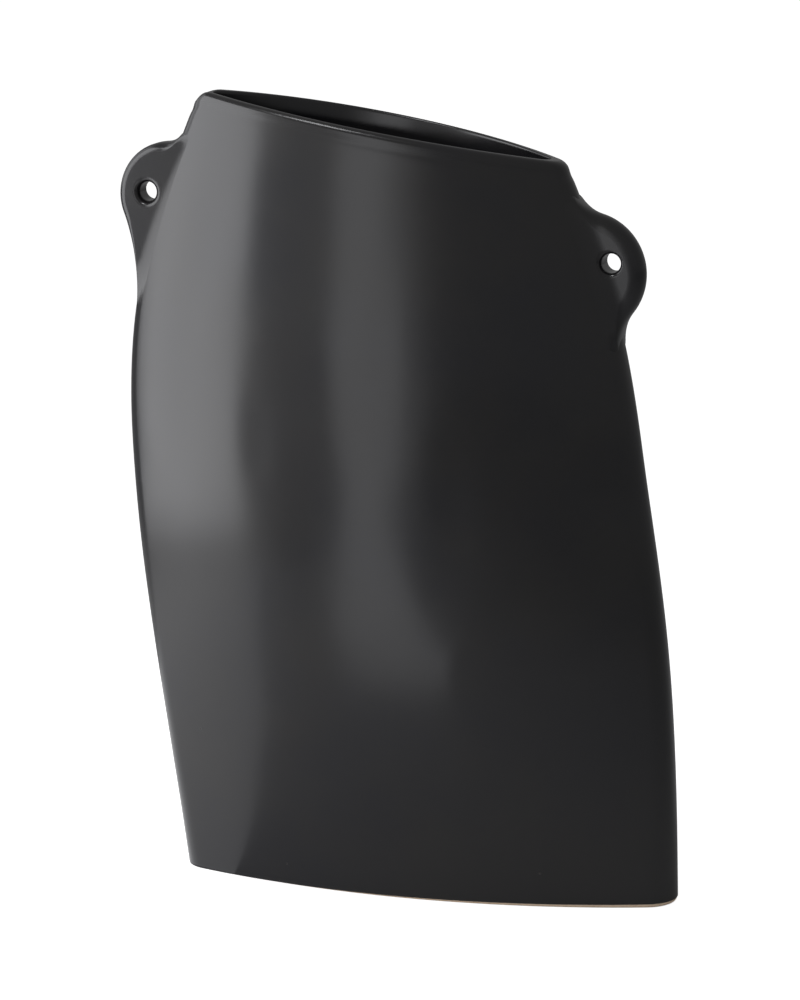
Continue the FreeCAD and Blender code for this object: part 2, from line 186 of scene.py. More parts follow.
def maths(tree, operation, *values):
    node = tree.nodes.new("ShaderNodeMath")
    node.operation = operation
    for socket, value in zip(node.inputs, values):
        feed(tree, socket, value)
    return Wire(tree, node.outputs[0])


def addNode(tree, kind, settings=None, **inputs):
    node = tree.nodes.new(kind)
    for name, value in (settings or {}).items():
        setattr(node, name, value)
    for name, value in inputs.items():
        feed(tree, node.inputs[name.replace("_", " ")], value)
    return node


def smoothRamp(tree, value, low, high):
    node = addNode(tree, "ShaderNodeMapRange", {"interpolation_type": "SMOOTHSTEP"},
                   Value=value, From_Min=low, From_Max=high, To_Min=0.0, To_Max=1.0)
    return Wire(tree, node.outputs[0])


def rootOf(tree, square):
    # square root, and nought for what is below nought
    return maths(tree, "SQRT", maths(tree, "MAXIMUM", square, 0.0))


def choose(tree, test, yes, no):
    return test * yes + (1 - test) * no


def groupSockets(tree, inputs, outputs):
    # named inputs with their numbers, named outputs, and the two ends of the group
    for name, (kind, value) in inputs.items():
        socket = tree.interface.new_socket(name, in_out="INPUT", socket_type=kind)
        if value is not None:
            socket.default_value = value
    for name, kind in outputs.items():
        tree.interface.new_socket(name, in_out="OUTPUT", socket_type=kind)
    start, end = tree.nodes.new("NodeGroupInput"), tree.nodes.new("NodeGroupOutput")
    return {name: Wire(tree, start.outputs[name]) for name in inputs}, end


# vase: the driving sizes in metres
vaseSizes = {
    "height": 0.370, "body width": 0.2535, "mouth width": 0.171, "rim drop": 0.027, "lean": 0.027,
    "depth": 0.090, "edge radius": 0.014,
}
# body: each level as shares of the height, half the width, the lean, half the depth in front, half the
# depth at the back and the edge radius; the last level takes the mouth's width
levelShares = [
    (0.0, 0.946, 0.01, 0.77, 0.76, 1.15),
    (0.162, 0.977, -0.19, 0.88, 0.88, 1.05),
    (0.351, 0.997, -0.49, 0.975, 0.975, 1.07),
    (0.541, 0.983, -0.81, 1.0, 1.0, 1.0),
    (0.708, 0.934, -0.98, 0.93, 1.0, 0.86),
    (0.865, 0.806, -1.07, 0.75, 0.965, 0.75),
    (1.027, 0.9, -1.12, 0.51, 0.88, 0.68),
]
levelParts = {"half width": 1, "shift": 2, "front": 3, "back": 4, "edge": 5}
# the curve nodes' range: up to this height, and for each part up to this size
curveTop = 0.385
curveSpan = {"half width": 0.15, "shift": 0.05, "front": 0.05, "back": 0.05, "edge": 0.02}


def bodyLevels():
    # height, half width, shift, front depth, back depth and edge radius of each level
    s = vaseSizes
    levels = []
    for shares in levelShares:
        width = s["mouth width"] if shares is levelShares[-1] else s["body width"]
        sizes = (s["height"], width / 2, s["lean"], s["depth"] / 2, s["depth"] / 2, s["edge radius"])
        levels.append([size * share for size, share in zip(sizes, shares)])
    return numpy.array(levels)


def smoothLevels(column, count=40):
    # a natural cubic curve through the levels, read off at even heights
    points = bodyLevels()
    x, y = points[:, 0], points[:, column]
    gaps, rises = numpy.diff(x), numpy.diff(y) / numpy.diff(x)
    size = len(x)
    system, bend = numpy.eye(size), numpy.zeros(size)
    for i in range(1, size - 1):
        system[i, i - 1:i + 2] = gaps[i - 1], 2 * (gaps[i - 1] + gaps[i]), gaps[i]
        bend[i] = 6 * (rises[i] - rises[i - 1])
    curve = numpy.linalg.solve(system, bend)
    heights = numpy.linspace(0, curveTop, count)
    values = []
    for height in heights:
        i = min(max(numpy.searchsorted(x, height) - 1, 0), size - 2)
        gap, up, down = gaps[i], height - x[i], x[i + 1] - height
        bow = (curve[i] * down**3 + curve[i + 1] * up**3) / (6 * gap)
        values.append(bow + (y[i] / gap - curve[i] * gap / 6) * down
                      + (y[i + 1] / gap - curve[i + 1] * gap / 6) * up)
    return heights, values


def levelCurve(tree, part, height):
    node = tree.nodes.new("ShaderNodeFloatCurve")
    mapping = node.mapping
    mapping.use_clip = False
    mapping.clip_min_y = -1
    heights, values = smoothLevels(levelParts[part])
    line = mapping.curves[0]
    span = curveSpan[part]
    for i, (level, value) in enumerate(zip(heights, values)):
        spot = (float(level / curveTop), float(value / span))
        if i < 2:
            line.points[i].location = spot
        else:
            line.points.new(*spot)
    mapping.update()
    feed(tree, node.inputs["Value"], height / curveTop)
    return Wire(tree, node.outputs[0]) * span


# how many columns of faces each side of the lens has, and how thick the wall is
lensColumns = {"front": 90, "edge": 28, "back": 90}
lensWall = {"face wall": 0.0055, "edge wall": 0.0085, "inner edge share": 0.5}


def makeLensGroup():
    # one point of the body's outline at a height, going round from the left end of the front face
    tree = bpy.data.node_groups.new("lens outline", "GeometryNodeTree")
    given, end = groupSockets(tree, {
        "Height": ("NodeSocketFloat", 0.0), "Column": ("NodeSocketFloat", 0.0),
        "Inset": ("NodeSocketFloat", 0.0), "Inner": ("NodeSocketFloat", 0.0),
    }, {"Position": "NodeSocketVector", "Outward": "NodeSocketVector"})
    height, column, inset, inner = (given[name] for name in ("Height", "Column", "Inset", "Inner"))

    shift = levelCurve(tree, "shift", height)
    edge = levelCurve(tree, "edge", height) * (1 - inner * (1 - lensWall["inner edge share"])) - inset
    halfWidth = levelCurve(tree, "half width", height) - inner * lensWall["edge wall"] - inset
    front = levelCurve(tree, "front", height) - inner * lensWall["face wall"] - inset
    back = levelCurve(tree, "back", height) - inner * lensWall["face wall"] - inset
    reach = halfWidth - edge

    def face(depth):
        radius = (reach * reach + depth * depth - edge * edge) / (2 * (depth - edge))
        return radius, maths(tree, "ARCSINE", reach / (radius - edge))

    frontRadius, frontTurn = face(front)
    backRadius, backTurn = face(back)
    faces, edges = lensColumns["front"], lensColumns["edge"]

    def part(first, count):
        return maths(tree, "MINIMUM", maths(tree, "MAXIMUM", (column - first) / count, 0.0), 1.0)

    def between(first, last):
        after = maths(tree, "GREATER_THAN", column, first + 0.5)
        return after * maths(tree, "LESS_THAN", column, last + 0.5)

    backFirst = faces + edges
    backLast = backFirst + lensColumns["back"]
    turn = (2 * frontTurn * part(0, faces) - frontTurn
            + (math.pi - frontTurn - backTurn) * part(faces, edges)
            + 2 * backTurn * part(backFirst, lensColumns["back"])
            + (math.pi - frontTurn - backTurn) * part(backLast, edges))
    onFront, onRight = between(-1, faces), between(faces, backFirst)
    onBack, onLeft = between(backFirst, backLast), between(backLast, backLast + edges)
    radius = onFront * frontRadius + onBack * backRadius + (onRight + onLeft) * edge
    sine, cosine = maths(tree, "SINE", turn), maths(tree, "COSINE", turn)
    x = shift + (onRight - onLeft) * reach + radius * sine
    y = onFront * (frontRadius - front) + onBack * (back - backRadius) - radius * cosine
    place = addNode(tree, "ShaderNodeCombineXYZ", X=x, Y=y, Z=height)
    outward = addNode(tree, "ShaderNodeCombineXYZ", X=sine, Y=-1 * cosine, Z=0.0)
    tree.links.new(place.outputs[0], end.inputs["Position"])
    tree.links.new(outward.outputs[0], end.inputs["Outward"])
    return tree


# section of the vase as rows, from the middle of the underside out, up, over the lip and down inside:
# how many rows each stretch has, and its sizes
sectionRows = {
    "under": 4, "wall": 110, "neck rows": 26, "lip": 7, "flare rows": 12, "inside": 60, "floor": 8,
    "under height": 0.003, "under inset": 0.0012,
    "glaze edge": ((0.0003, 0.0006), (0.0, 0.00035), (0.0002, 0.0001), (0.0006, 0.0)),  # height and inset
    "wall start": 0.0016, "foot fade": 8, "neck share": 0.05,
    "groove": 0.00028, "groove below": 0.0034, "groove half": 0.0019,
    "lip radius": 0.0027, "inner radius": 0.0013, "inner turn share": 0.42, "inner drop share": 0.75,
    "flare": 0.0015, "flare depth": 0.008, "flare bend": 1.25,
    "floor height": 0.009, "floor round": 0.004,
}
rowParts = ("low", "share", "drop", "inset", "inner", "shrink", "foot")


def bodyRows():
    rows = []

    def row(low, share, drop=0.0, inset=0.0, inner=0.0, shrink=1.0, foot=0.0):
        rows.append((low, share, drop, inset, inner, shrink, foot))

    s = sectionRows
    for i in range(s["under"]):
        row(s["under height"], 0.0, inset=s["under inset"], shrink=i / s["under"])
    row(s["under height"], 0.0, inset=s["under inset"])
    for height, inset in s["glaze edge"]:
        row(height, 0.0, inset=inset, foot=1.0)
    low, lip = s["wall start"], s["lip radius"]
    neckStart = 1 - s["neck share"]
    for i in range(s["wall"] + 1):
        share = neckStart * i / s["wall"]
        row(low, share, drop=lip, foot=1.0 - min(1.0, s["foot fade"] * share))
    for i in range(1, s["neck rows"] + 1):
        share = neckStart + s["neck share"] * i / s["neck rows"]
        below = (1 - share) * mouthSlope["Middle Height"] - s["groove below"]
        row(low, share, drop=lip, inset=s["groove"] * math.exp(-(below / s["groove half"])**2))
    for i in range(1, s["lip"] + 1):
        turn = math.pi / 2 * i / s["lip"]
        row(0.0, 1.0, drop=lip * (1 - math.sin(turn)), inset=lip * (1 - math.cos(turn)))
    soft, flare, deep = s["inner radius"], s["flare"], s["flare depth"]
    for i in range(s["lip"]):
        turn = math.pi * s["inner turn share"] * i / s["lip"]
        inset = -flare - soft * (1 - math.sin(turn))
        row(0.0, 1.0, drop=soft * (1 - math.cos(turn)), inset=inset, inner=1.0)
    start = soft * s["inner drop share"]
    for i in range(s["flare rows"]):
        part = i / s["flare rows"]
        inset = -flare * (1 - part)**s["flare bend"]
        row(0.0, 1.0, drop=start + part * (deep - start), inset=inset, inner=1.0)
    low, soft = s["floor height"], s["floor round"]
    for i in range(s["inside"] + 1):
        row(low + soft, 1 - i / s["inside"], drop=deep, inner=1.0)
    for i in range(1, s["lip"] + 1):
        turn = math.pi / 2 * i / s["lip"]
        row(low + soft * (1 - math.sin(turn)), 0.0, inset=soft * (1 - math.cos(turn)), inner=1.0)
    for i in range(1, s["floor"] + 1):
        row(low, 0.0, inset=soft, inner=1.0, shrink=1 - i / s["floor"])
    return rows


# mouth: the height of its middle, how far it falls per metre, where its middle is, and the rounding of
# the lip's left corner and how much of the quarter circle is used
mouthShiftShare = -0.93
mouthSlope = {
    "Middle Height": vaseSizes["height"] - vaseSizes["rim drop"] / 2,
    "Fall": vaseSizes["rim drop"] / vaseSizes["mouth width"],
    "Middle X": mouthShiftShare * vaseSizes["lean"],
    "Corner Radius": 0.0075, "Corner Limit": 0.88,
}
# a row's height follows from its x and its x from its height, so they settle in a few rounds
mouthRounds = 3
# hand marks: how deep the waves go, how wide they are, the seed, and how strong the dents below are;
# then how fine the waves' noise is
handMarks = {"Wave Depth": 0.0007, "Wave Scale": 11.0, "Seed": 4.0, "Presses": 1.0}
waveNoise = {"Detail": 1.0, "Roughness": 0.4}
# where the hand marks fade: to a share at the side edges, and out at the foot, the lip and the ears
markFades = {
    "waves": (0.25, 0.75), "edge share": 0.25, "edge facing": (0.3, 0.9), "foot": (0.0, 0.03),
    "lip share": (0.95, 1.0), "ear height": (0.185, 0.225), "ear across": (0.013, 0.04),
}
# dents that the hand left in the front: across, height, half width, half height and depth in metres
dents = [
    (0.024, 0.190, 0.011, 0.030, 0.00040),
    (-0.012, 0.262, 0.012, 0.036, 0.00030),
    (0.030, 0.118, 0.014, 0.022, -0.00030),
    (-0.070, 0.215, 0.010, 0.022, 0.00030),
    (-0.052, 0.165, 0.012, 0.030, -0.00020),
]
# glaze line: how high it lies at the left end, how much higher at the right, and how far out both are
glazeLine = {"Glaze Line Left": 0.0002, "Glaze Line Rise": 0.0018, "Glaze Line Reach": 0.12}


def makeBodyTree(lens, rowCount, material):
    tree = bpy.data.node_groups.new("lens body", "GeometryNodeTree")
    numbers = {**mouthSlope, **handMarks, **glazeLine}
    inputs = {"Geometry": ("NodeSocketGeometry", None)}
    inputs.update({name: ("NodeSocketFloat", value) for name, value in numbers.items()})
    given, end = groupSockets(tree, inputs, {"Geometry": "NodeSocketGeometry"})

    columns = 2 * lensColumns["edge"] + lensColumns["front"] + lensColumns["back"]
    grid = addNode(tree, "GeometryNodeMeshGrid")
    grid.inputs["Vertices X"].default_value = columns + 1
    grid.inputs["Vertices Y"].default_value = rowCount
    index = Wire(tree, addNode(tree, "GeometryNodeInputIndex").outputs[0])
    column = maths(tree, "FLOOR", (index + 0.5) / rowCount)
    row = index - column * rowCount

    def fromRow(name):
        named = addNode(tree, "GeometryNodeInputNamedAttribute", {"data_type": "FLOAT"}, Name=name)
        sample = addNode(tree, "GeometryNodeSampleIndex", {"data_type": "FLOAT", "domain": "POINT"})
        tree.links.new(given["Geometry"].socket, sample.inputs["Geometry"])
        tree.links.new(named.outputs["Attribute"], sample.inputs["Value"])
        feed(tree, sample.inputs["Index"], row)
        return Wire(tree, sample.outputs[0])

    low, share, drop, inset, inner, shrink, foot = (fromRow(name) for name in rowParts)

    def lensAt(height):
        return addNode(tree, "GeometryNodeGroup", {"node_tree": lens}, Height=height, Column=column,
                       Inset=inset, Inner=inner)

    def mouthAbove(level):
        split = addNode(tree, "ShaderNodeSeparateXYZ")
        tree.links.new(lensAt(level).outputs["Position"], split.inputs[0])
        along = Wire(tree, split.outputs["X"])
        fromTip = along - levelCurve(tree, "shift", level) + levelCurve(tree, "half width", level)
        radius = given["Corner Radius"]
        gap = maths(tree, "MAXIMUM", radius - fromTip, 0.0)
        gap = maths(tree, "MINIMUM", gap, radius * given["Corner Limit"])
        corner = radius - rootOf(tree, radius * radius - gap * gap)
        return given["Middle Height"] - given["Fall"] * (along - given["Middle X"]) - corner

    height = low + share * (given["Middle Height"] - drop - low)
    for _ in range(mouthRounds):
        height = low + share * (mouthAbove(height) - drop - low)
    final = lensAt(height)
    split = addNode(tree, "ShaderNodeSeparateXYZ")
    tree.links.new(final.outputs["Position"], split.inputs[0])
    x, y, z = (Wire(tree, split.outputs[axis]) for axis in "XYZ")

    lift = addNode(tree, "ShaderNodeMapRange", {"clamp": True}, Value=x,
                   From_Min=-1 * given["Glaze Line Reach"], From_Max=given["Glaze Line Reach"],
                   To_Min=given["Glaze Line Left"],
                   To_Max=given["Glaze Line Left"] + given["Glaze Line Rise"])
    z = z + foot * Wire(tree, lift.outputs[0])

    spot = addNode(tree, "ShaderNodeCombineXYZ", X=x, Y=y, Z=z)
    noise = addNode(tree, "ShaderNodeTexNoise", {"noise_dimensions": "4D"}, W=given["Seed"],
                    Scale=given["Wave Scale"], **waveNoise)
    tree.links.new(spot.outputs[0], noise.inputs["Vector"])
    facing = addNode(tree, "ShaderNodeSeparateXYZ")
    tree.links.new(final.outputs["Outward"], facing.inputs[0])
    fromSide = levelCurve(tree, "half width", z) - maths(
        tree, "ABSOLUTE", x - levelCurve(tree, "shift", z))
    besideEar = smoothRamp(tree, z, *markFades["ear height"]) * (
        1 - smoothRamp(tree, fromSide, *markFades["ear across"]))
    waves = smoothRamp(tree, Wire(tree, noise.outputs[0]), *markFades["waves"]) * given["Wave Depth"]
    presses = 0.0
    for dentX, dentZ, halfX, halfZ, depth in dents:
        farX, farZ = (x - dentX) / halfX, (z - dentZ) / halfZ
        bell = maths(tree, "EXPONENT", -1 * (farX * farX + farZ * farZ))
        presses = presses + depth * bell
    onFace = maths(tree, "LESS_THAN", y, 0.0)
    least = markFades["edge share"]
    sideways = maths(tree, "ABSOLUTE", Wire(tree, facing.outputs["Y"]))
    edgeFade = least + (1 - least) * smoothRamp(tree, sideways, *markFades["edge facing"])
    dent = maths(tree, "MAXIMUM", waves * edgeFade + presses * onFace * given["Presses"], 0.0)
    dent = (dent * smoothRamp(tree, z, *markFades["foot"])
            * (1 - smoothRamp(tree, share, *markFades["lip share"])) * (1 - besideEar) * (1 - inner))
    push = addNode(tree, "ShaderNodeVectorMath", {"operation": "SCALE"})
    tree.links.new(final.outputs["Outward"], push.inputs[0])
    feed(tree, push.inputs["Scale"], -1 * dent)
    away = addNode(tree, "ShaderNodeVectorMath", {"operation": "ADD"})
    closed = addNode(tree, "ShaderNodeCombineXYZ", X=x * shrink, Y=y * shrink, Z=z)
    tree.links.new(closed.outputs[0], away.inputs[0])
    tree.links.new(push.outputs[0], away.inputs[1])

    finishTree(tree, grid, away, material, end)
    return tree


# points that lie closer together than this, in metres, become one
weldDistance = 0.000005


def finishTree(tree, grid, place, material, end):
    # moves the grid's points, closes its seams and gives it smooth faces and its material
    moved = addNode(tree, "GeometryNodeSetPosition")
    tree.links.new(grid.outputs["Mesh"], moved.inputs["Geometry"])
    tree.links.new(place.outputs[0], moved.inputs["Position"])
    merged = addNode(tree, "GeometryNodeMergeByDistance", Distance=weldDistance)
    tree.links.new(moved.outputs[0], merged.inputs["Geometry"])
    smooth = addNode(tree, "GeometryNodeSetShadeSmooth")
    tree.links.new(merged.outputs[0], smooth.inputs["Geometry"])
    real = addNode(tree, "GeometryNodeRealizeInstances")
    tree.links.new(smooth.outputs[0], real.inputs[0])
    paint = addNode(tree, "GeometryNodeSetMaterial")
    paint.inputs["Material"].default_value = material
    tree.links.new(real.outputs[0], paint.inputs["Geometry"])
    tree.links.new(paint.outputs[0], end.inputs["Geometry"])


def linePiece(name, rows, parts):
    # a row of points that carries the numbers of each row as attributes
    mesh = bpy.data.meshes.new(name)
    places = [(0, 0, i) for i in range(len(rows))]
    mesh.from_pydata(places, [(i, i + 1) for i in range(len(rows) - 1)], [])
    for j, part in enumerate(parts):
        attribute = mesh.attributes.new(part, "FLOAT", "POINT")
        attribute.data.foreach_set("value", [float(row[j]) for row in rows])
    piece = bpy.data.objects.new(name, mesh)
    bpy.context.scene.collection.objects.link(piece)
    return piece


def bakeTree(piece, tree, numbers):
    modifier = piece.modifiers.new("shape", "NODES")
    modifier.node_group = tree
    for item in tree.interface.items_tree:
        if item.in_out == "INPUT" and item.name in numbers:
            modifier[item.identifier] = numbers[item.name]
    seen = piece.evaluated_get(bpy.context.evaluated_depsgraph_get())
    baked = bpy.data.meshes.new_from_object(seen)
    piece.modifiers.clear()
    old = piece.data
    piece.data = baked
    bpy.data.meshes.remove(old)


def makeBody(lens, material):
    rows = bodyRows()
    tree = makeBodyTree(lens, len(rows), material)
    body = linePiece("vaseBody", rows, rowParts)
    bakeTree(body, tree, {**mouthSlope, **handMarks, **glazeLine})
    print("body", len(body.data.vertices), "points", len(body.data.polygons), "faces")
    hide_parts("front_wall", "back_wall")
    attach(body, "root")


# foot: bare clay under the glaze, set back by the glaze's thickness
footRows = {"across": 10, "round": 6, "foot radius": 0.0022, "glaze thickness": 0.00035, "top": 0.007}


def clayRows():
    # each row's numbers stand in the order of rowParts
    s = footRows
    skin, soft = s["glaze thickness"], s["foot radius"]
    rows = [(0.0, 0.0, 0.0, skin + soft, 0.0, i / s["across"], 0.0) for i in range(s["across"])]
    for i in range(s["round"] + 1):
        turn = math.pi / 2 * i / s["round"]
        inset = skin + soft * (1 - math.sin(turn))
        rows.append((soft * (1 - math.cos(turn)), 0.0, 0.0, inset, 0.0, 1.0, 0.0))
    for i in range(s["across"] + 1):
        rows.append((s["top"], 0.0, 0.0, skin, 0.0, 1 - i / s["across"], 0.0))
    return rows


def makeFoot(lens, material):
    rows = clayRows()
    tree = makeBodyTree(lens, len(rows), material)
    foot = linePiece("clayFoot", rows, rowParts)
    bakeTree(foot, tree, {**mouthSlope, "Wave Depth": 0.0, "Presses": 0.0})
    print("foot", len(foot.data.polygons), "faces")
    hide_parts("base_slab")
    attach(foot, "root")


# ears, seen from the front, in metres: lobe and hole centres, lobe radius, how softly the hole opens, neck
# and armpit radii, the rim's rounding and how gently it starts, and how the skin runs into the body: its
# slope and how far out that starts, the radius of the hollow, and where both ends thin and by what share
earSizes = {
    "leftEar": {
        "side": -1, "replaces": "left_ear", "lobe": (0.12677, 0.3205), "radius": 0.0245,
        "hole": (0.13647, 0.3217), "softening": 0.0027, "neck": 0.015, "armpit": 0.1,
        "rounding": 0.0036, "evenness": 2.4,
        "blend": {"Slope": 0.14, "Slope Reach": 0.0247, "Fillet": 0.037, "Low End": 0.262,
                  "Low Over": 0.030, "High End": 0.354, "High Over": 0.012, "High Share": 0.1},
    },
    "rightEar": {
        "side": 1, "replaces": "right_ear", "lobe": (0.07395, 0.2921), "radius": 0.0284,
        "hole": (0.08715, 0.2977), "softening": 0.0021, "neck": 0.024, "armpit": 0.026,
        "rounding": 0.0074, "evenness": 3.2,
        "blend": {"Slope": 0.03, "Slope Reach": 0.065, "Fillet": 0.030, "Low End": 0.249,
                  "Low Over": 0.018, "High End": 0.340, "High Over": 0.022, "High Share": 0.45},
    },
}
# both ears: thickness, the hidden root, how finely the outline and its rows are divided, and how the
# rounding follows the slant of the rim
earShape = {
    "thickness": 0.010, "hole radius": 0.0044,
    "root inset": 0.0015, "root depth": 0.0115, "lowest root": 0.25, "under skin share": 0.7,
    "arc points": 60, "outline points": 180, "face rows": 40, "arc rows": 9, "hole rows": 3,
    "hole spread": 14, "least sine": 0.8, "slant spread": 3,
}
# how the hidden part of the ear lies under the body's skin, and how the rim closes there
earSink = {
    "Sink": 0.0016, "Sink Over": 0.004, "Deepest Share": 0.6, "Under Skin": 2.0, "Least Fillet": 0.0001,
    "Root Softness": 0.002, "Soft From": 0.010, "Soft To": -0.001, "Low Share": 0.45,
}


def earOutline(ear):
    # evenly spaced points round the lobe, the neck, the hidden root and the armpit
    side, size = ear["side"], ear["radius"]
    heights, halfWidths = smoothLevels(levelParts["half width"])
    shifts = smoothLevels(levelParts["shift"])[1]
    tips = [Vector((numpy.interp(level, heights, halfWidths) + side * numpy.interp(level, heights, shifts)
                    - earShape["root inset"], level))
            for level in (earShape["lowest root"], *bodyLevels()[-2:, 0])]
    low, middle, high = tips
    centre = Vector(ear["lobe"])

    def hollow(start, finish, radius, sense):
        along = (finish - start).normalized()
        outward = Vector((along.y, -along.x))
        offset = centre - middle
        gap = offset.dot(outward)
        run = offset.dot(along) + sense * math.sqrt((size + radius)**2 - (radius - gap)**2)
        foot = middle + along * run
        return foot + outward * radius, foot, outward

    def arc(about, radius, one, other):
        # the lobe turns the long way round, a hollow the short way
        count = earShape["arc points"] * (2 if radius == size else 1)
        start = math.atan2(one.y - about.y, one.x - about.x)
        turn = math.atan2(other.y - about.y, other.x - about.x) - start
        shortest = 0.0 if radius == size else math.pi
        turn = (turn + shortest) % (2 * math.pi) - shortest
        turns = [start + turn * i / count for i in range(count + 1)]
        return [about + radius * Vector((math.cos(angle), math.sin(angle))) for angle in turns]

    def underSkin(about, radius, foot, lobeEnd):
        # where the hollow is well under the body's skin, before it runs along the root
        back = earShape["under skin share"] * math.acos(1 - earShape["root inset"] / radius)
        way = foot - about
        sense = 1 if way.x * (lobeEnd - about).y > way.y * (lobeEnd - about).x else -1
        start = math.atan2(way.y, way.x) + sense * back
        return about + radius * Vector((math.cos(start), math.sin(start)))

    neckCentre, neckFoot, neckOut = hollow(middle, high, ear["neck"], 1)
    pitCentre, pitFoot, pitOut = hollow(low, middle, ear["armpit"], -1)
    depth = earShape["root depth"]
    lobeLow = centre + (pitCentre - centre).normalized() * size
    lobeHigh = centre + (neckCentre - centre).normalized() * size
    path = arc(centre, size, lobeLow, lobeHigh)
    neckEnd = underSkin(neckCentre, ear["neck"], neckFoot, lobeHigh)
    pitEnd = underSkin(pitCentre, ear["armpit"], pitFoot, lobeLow)
    path += arc(neckCentre, ear["neck"], lobeHigh, neckEnd)[1:]
    path += [neckFoot - neckOut * depth, pitFoot - pitOut * depth, pitEnd]
    path += arc(pitCentre, ear["armpit"], pitEnd, lobeLow)[1:]
    steps = [0.0]
    for one, other in zip(path, path[1:]):
        steps.append(steps[-1] + (other - one).length)
    count = earShape["outline points"]
    where = [steps[-1] * i / count for i in range(count)]
    across = numpy.interp(where, steps, [point.x for point in path])
    rise = numpy.interp(where, steps, [point.y for point in path])
    turns = numpy.unwrap(numpy.arctan2(rise - ear["hole"][1], across - ear["hole"][0]))
    around = numpy.concatenate([turns - 2 * math.pi, turns, turns + 2 * math.pi])
    spread = earShape["hole spread"]
    soft = [around[count + i - spread:count + i + spread + 1].mean() for i in range(count)]
    # how much longer than straight across the rim each line from the hole runs over the rounding
    along = numpy.gradient(numpy.array([across, rise]), axis=1)
    lines = numpy.array([across, rise]) - numpy.array([ear["hole"]]).T
    turned = along[0] * lines[1] - along[1] * lines[0]
    sine = numpy.abs(turned) / numpy.hypot(*along) / numpy.hypot(*lines)
    slants = 1 / numpy.maximum(sine, earShape["least sine"])
    spread = earShape["slant spread"]
    ring = numpy.concatenate([slants, slants, slants])
    slants = [ring[count + i - spread:count + i + spread + 1].mean() for i in range(count)]
    return list(zip(across, soft, rise, slants))


earParts = ("share", "holeSide", "rimSide", "height", "fall", "blend")


def earRows(evenness, soft):
    # from the middle of the hole's wall over the front face and the rim to the back and round again
    s = earShape
    half = s["thickness"] / 2
    front = [(0.0, 0.0, 0.0, (half - soft) * i / s["hole rows"], 0.0, 0.0) for i in range(s["hole rows"])]
    for i in range(s["arc rows"]):
        turn = math.pi / 2 * i / s["arc rows"]
        front.append((0.0, soft * (1 - math.cos(turn)), 0.0, half - soft + soft * math.sin(turn), 0.0,
                      i / s["arc rows"]))
    for i in range(s["face rows"] + 1):
        k = i / s["face rows"]
        front.append((k, soft * (1 - k), k, half, 0.0, 1.0))
    for i in range(1, s["arc rows"] + 1):
        turn = math.pi / 2 * i / s["arc rows"]
        front.append((1.0, 0.0, 1 - math.sin(turn)**(2 / evenness), half, 1 - math.cos(turn), 1.0))
    back = [(share, hole, rim, -height, fall, blend)
            for share, hole, rim, height, fall, blend in reversed(front)]
    return front + back + [front[0]]


